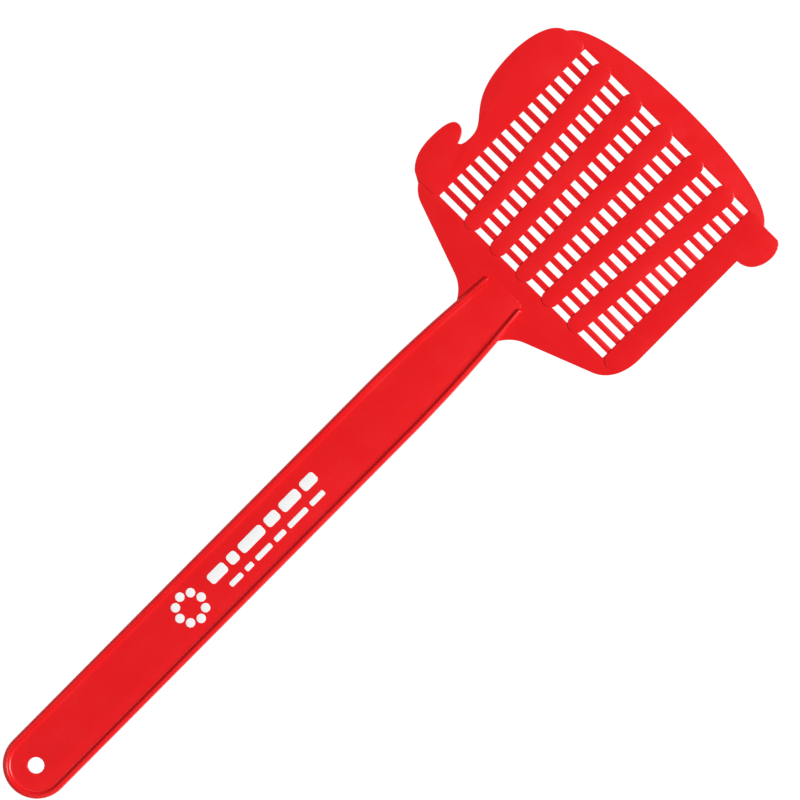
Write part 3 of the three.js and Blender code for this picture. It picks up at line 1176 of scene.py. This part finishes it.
@dataclass
class Grille(MouldedPart):
    """The cross bars of the head and the fanned ribs that stand proud of them."""

    rows: int = 16
    bar_recess: float = 0.1
    bar_edge: float = 0.2
    bar_root: float = 0.5
    ribs: int = 5
    rib_width_neck: float = 7.6
    rib_width_crown: float = 9.2
    outer_slot_neck: float = 14.2
    outer_slot_crown: float = 7.4
    rib_lap: float = 1.6
    rib_edge: float = 0.32
    rib_recess: float = 0.05

    def build(self) -> None:
        """Makes the bars and the ribs."""
        self.build_bars()
        for index in range(self.ribs):
            self.build_rib(index)

    def first_bar(self) -> bpy.types.Object:
        """Makes the bar nearest the neck from a block with rounded edges.

        Returns:
            The bar.
        """
        plan, bench = self.plan, self.bench
        back = plan.plate_back + self.bar_recess
        size = Vector((2 * (plan.window_x + self.bar_root), plan.bar_width, plan.bar_front - back))
        y = plan.window_bottom + plan.slot_height + plan.bar_width / 2
        bench.clear()
        bpy.ops.mesh.primitive_cube_add(size=1, location=(0, 0, 0))
        bar = bpy.context.object
        with bench.editing(bar):
            bpy.ops.transform.resize(value=size * MM)
            bpy.ops.transform.translate(value=bench.place(0, y, (plan.bar_front + back) / 2))
            bpy.ops.mesh.bevel(offset=self.bar_edge * MM, segments=EDGE_SEGMENTS, affect="EDGES")
        bench.weld(bar)
        return bar

    def build_bars(self) -> None:
        """Makes one bar, copies it up the head and dresses them all."""
        bench = self.bench
        pitch = self.plan.bar_width + self.plan.slot_height
        bars = [self.first_bar()]
        for row in range(1, self.rows):
            bench.pick(bars[0])
            bpy.ops.object.duplicate(linked=False)
            bars.append(bpy.context.object)
            with bench.editing(bars[-1]):
                bpy.ops.transform.translate(value=(0, row * pitch * MM, 0))
        for number, bar in enumerate(bars, start=1):
            bar.name = bar.data.name = f"grille_bar_{number:02d}"
            self.dress(bar, "head", f"cross_bar_{number:02d}")

    def rib_outline(self, index: int) -> Loop:
        """The outline round two circles, one at the neck and a larger one at the crown.

        Args:
            index: Which rib, from the left.

        Returns:
            The outline.
        """
        plan = self.plan
        place = 2 * index / (self.ribs - 1) - 1
        low_r, high_r = self.rib_width_neck / 2, self.rib_width_crown / 2
        low_x = place * (plan.window_x - self.outer_slot_neck - low_r)
        high_x = place * (plan.window_x - self.outer_slot_crown - high_r)
        low = (low_x, plan.window_bottom - self.rib_lap + low_r)
        high = (high_x, plan.window_top + self.rib_lap - high_r)
        lean = math.degrees(math.atan2(high[1] - low[1], high[0] - low[0]))
        spread = 90 + math.degrees(math.asin((high_r - low_r) / math.dist(low, high)))
        start = math.radians(lean - spread)
        pen = Pen(high[0] + high_r * math.cos(start), high[1] + high_r * math.sin(start))
        pen.arc(high, high_r, lean - spread, lean + spread)
        return pen.arc(low, low_r, lean + spread, lean - spread + 360).points

    def build_rib(self, index: int) -> None:
        """Makes one rib."""
        plan = self.plan
        back = plan.plate_back + self.rib_recess
        name = f"raised_rib_{index + 1}"
        rib = self.bench.slab(name, [self.rib_outline(index)], back, plan.raised, self.rib_edge)
        self.dress(rib, "head", f"rib_{index + 1}")


@dataclass(frozen=True)
class Boss:
    """A low round boss: its radius, how far it stands out, and the rounding of its edge."""

    radius: float
    proud: float
    edge: float


@dataclass
class BackMarks(MouldedPart):
    """Round witness marks of the mould's ejector pins on the back, and the trimmed gate."""

    pin: Boss = Boss(radius=2.4, proud=0.07, edge=0.05)
    gate: Boss = Boss(radius=1.5, proud=0.25, edge=0.12)
    gate_place: Point = (0.0, 150.0)
    root: float = 0.3
    handle_pins_x: float = 7.5
    handle_pins_y: tuple[float, ...] = (40.0, 110.0, 190.0, 262.0)
    crown_pins: tuple[Point, ...] = ((-40.0, -1.5), (40.0, -1.5), (0.0, -1.0))
    border_pins: tuple[Point, ...] = (
        (-56.0, 372.0),
        (54.6, 350.0),
        (-56.0, 318.0),
        (54.6, 320.0),
    )

    def disc(self, name: str, middle: Point, boss: Boss) -> bpy.types.Object:
        """A boss on the back of the plate.

        Args:
            name: Its name.
            middle: Its place.
            boss: Its sizes.

        Returns:
            The mesh object.
        """
        back = self.plan.plate_back
        pen = Pen(middle[0] + boss.radius, middle[1], steps=40)
        loop = pen.arc(middle, boss.radius, 0, 360).points
        return self.bench.slab(name, [loop], back - boss.proud, back + self.root, boss.edge)

    def build(self) -> None:
        """Makes the marks of handle and head, each set as one piece."""
        plan = self.plan
        crown_y = (plan.window_top + plan.crown_y) / 2
        handle = [(side.value * self.handle_pins_x, y) for y in self.handle_pins_y for side in Side]
        head = [(x, crown_y + rise) for x, rise in self.crown_pins] + list(self.border_pins)
        for body, places in (("handle", handle), ("head", head)):
            marks = [self.disc(f"{body}_pin_{n}", p, self.pin) for n, p in enumerate(places)]
            self.dress(self.bench.join(f"{body}_pin_marks", marks), body)
        self.dress(self.disc("gate_mark", self.gate_place, self.gate), "handle")


@dataclass(frozen=True)
class Row:
    """A row of blocks with round corners, along the handle."""

    x: float
    start: float
    width: float
    gap: float
    blocks: tuple[float, ...]
    rounding: float = 0.3

    def loops(self) -> list[Loop]:
        """The blocks one after another.

        Returns:
            Their outlines.
        """
        loops = []
        r = self.width * self.rounding
        left, right = self.x - (self.width / 2 - r), self.x + (self.width / 2 - r)
        start = self.start
        for length in self.blocks:
            low, high = start + r, start + length - r
            pen = Pen(right + r, low, steps=8)
            pen.arc((right, high), r, 0, 90).arc((left, high), r, 90, 180)
            pen.arc((left, low), r, 180, 270).arc((right, low), r, 270, 360)
            loops.append(pen.points)
            start += length + self.gap
        return loops


@dataclass(frozen=True)
class DotRing:
    """A ring of evenly spaced dots."""

    centre: Point
    radius: float
    dot_radius: float
    count: int

    def loops(self) -> list[Loop]:
        """The dots one after another.

        Returns:
            Their outlines.
        """
        loops = []
        for index in range(self.count):
            turn = 2 * math.pi * index / self.count
            x = self.centre[0] + self.radius * math.cos(turn)
            y = self.centre[1] + self.radius * math.sin(turn)
            pen = Pen(x + self.dot_radius, y, steps=40)
            loops.append(pen.arc((x, y), self.dot_radius, 0, 360).points)
        return loops


@dataclass
class Print:
    """A plain print on the handle: a ring of dots and two rows of rounded blocks."""

    bench: Bench
    ink: bpy.types.Material
    level: float = 3.49
    film: float = 0.03
    edge: float = 0.008
    ring: DotRing = DotRing(centre=(-0.6, 107.8), radius=6.4, dot_radius=2.0, count=8)
    wide: Row = Row(
        x=-2.8, start=121.5, width=5.0, gap=2.0, blocks=(9.5, 5.0, 13.5, 7.0, 10.5, 8.0)
    )
    thin: Row = Row(
        x=4.8, start=126.5, width=2.4, gap=2.2, blocks=(7.0, 4.2, 9.0, 6.0, 11.0, 8.0)
    )

    def build(self) -> None:
        """Makes the print and puts it on the handle."""
        inks = {
            "print_dot_ring": self.ring.loops(),
            "print_wide_row": self.wide.loops(),
            "print_thin_row": self.thin.loops(),
        }
        for name, loops in inks.items():
            mark = self.bench.slab(name, loops, self.level, self.level + self.film, self.edge)
            mark.data.materials.clear()
            mark.data.materials.append(self.ink)
            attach(mark, "handle")
            LOG.info("%s: %d faces", name, len(mark.data.polygons))


# --- studio --------------------------------------------------------------------------------------


@dataclass(frozen=True)
class Lamp:
    """A square soft lamp that faces the part."""

    name: str
    turn: float
    height: float
    distance: float
    size: float
    power: float

    def hang(self) -> None:
        """Hangs the lamp at its bearing and height over the part, in degrees."""
        turn, height = math.radians(self.turn), math.radians(self.height)
        flat = self.distance * math.cos(height)
        place = Vector(
            (flat * math.cos(turn), flat * math.sin(turn), self.distance * math.sin(height))
        )
        bpy.ops.object.light_add(type="AREA", location=place)
        light = bpy.context.object
        light.name = self.name
        light.data.size = self.size
        light.data.energy = self.power
        light.rotation_euler = (-place).to_track_quat("-Z", "Y").to_euler()


@dataclass
class Studio:
    """A pale floor, soft lamps and a camera that looks straight down on the front face."""

    bench: Bench
    paper: bpy.types.Material
    turn: float = 44.79
    centre_x: float = 0.37
    centre_y: float = 232.96
    view_width: float = 340.06
    lens: float = 200.0
    sensor: float = 36.0
    room_light: float = 0.12
    floor_drop: float = 48.0
    floor_size: float = 8.0
    far_clip: float = 20.0
    lamps: tuple[Lamp, ...] = (
        Lamp("key_lamp", turn=42, height=46, distance=5.0, size=1.7, power=250.0),
        Lamp("fill_lamp", turn=222, height=48, distance=4.4, size=2.8, power=24.0),
        Lamp("head_lamp", turn=132, height=48, distance=4.4, size=2.4, power=12.0),
        Lamp("end_lamp", turn=-48, height=48, distance=4.4, size=2.4, power=8.0),
    )

    def make_floor(self) -> None:
        """Lays the floor far enough under the part for the head to bend down."""
        level = self.bench.back_z - self.floor_drop * MM
        bpy.ops.mesh.primitive_plane_add(size=self.floor_size, location=(0, 0, level))
        floor = bpy.context.object
        floor.name = "studio_floor"
        floor.data.materials.append(self.paper)
        floor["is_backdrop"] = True

    def make_lamps(self) -> None:
        """Hangs the lamps and lights the room faintly."""
        for lamp in self.lamps:
            lamp.hang()
        world = bpy.data.worlds.new("studio_room")
        bpy.context.scene.world = world
        world.use_nodes = True
        backdrop = world.node_tree.nodes["Background"]
        backdrop.inputs["Color"].default_value = (1, 1, 1, 1)
        backdrop.inputs["Strength"].default_value = self.room_light

    def make_camera(self) -> None:
        """Places the camera over the part, turned so that the handle runs across the frame."""
        place = self.bench.place(self.centre_x, self.centre_y, 0)
        place.z = self.lens * self.view_width * MM / self.sensor
        bpy.ops.object.camera_add(location=place, rotation=(0, 0, math.radians(self.turn)))
        camera = bpy.context.object
        camera.name = "studio_camera"
        camera.data.lens = self.lens
        camera.data.sensor_width = self.sensor
        camera.data.clip_end = self.far_clip
        bpy.context.scene.camera = camera


def main() -> None:
    """Builds the part and its studio in order."""
    logging.basicConfig(level=logging.INFO, format="%(name)s %(message)s")
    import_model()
    bpy.context.scene.view_settings.view_transform = "Standard"
    bench = Bench()
    plan = Outline(bench)
    plastic = GlossyPlastic().make()
    for part in (Plate, Rims, WebPanel, BorderFaces, Grille, BackMarks):
        part(bench, plan, plastic).build()
    Print(bench, PadInk().make()).build()
    studio = Studio(bench, StudioPaper().make())
    studio.make_floor()
    studio.make_lamps()
    studio.make_camera()
    bpy.context.view_layer.update()


if __name__ == "__main__":
    main()
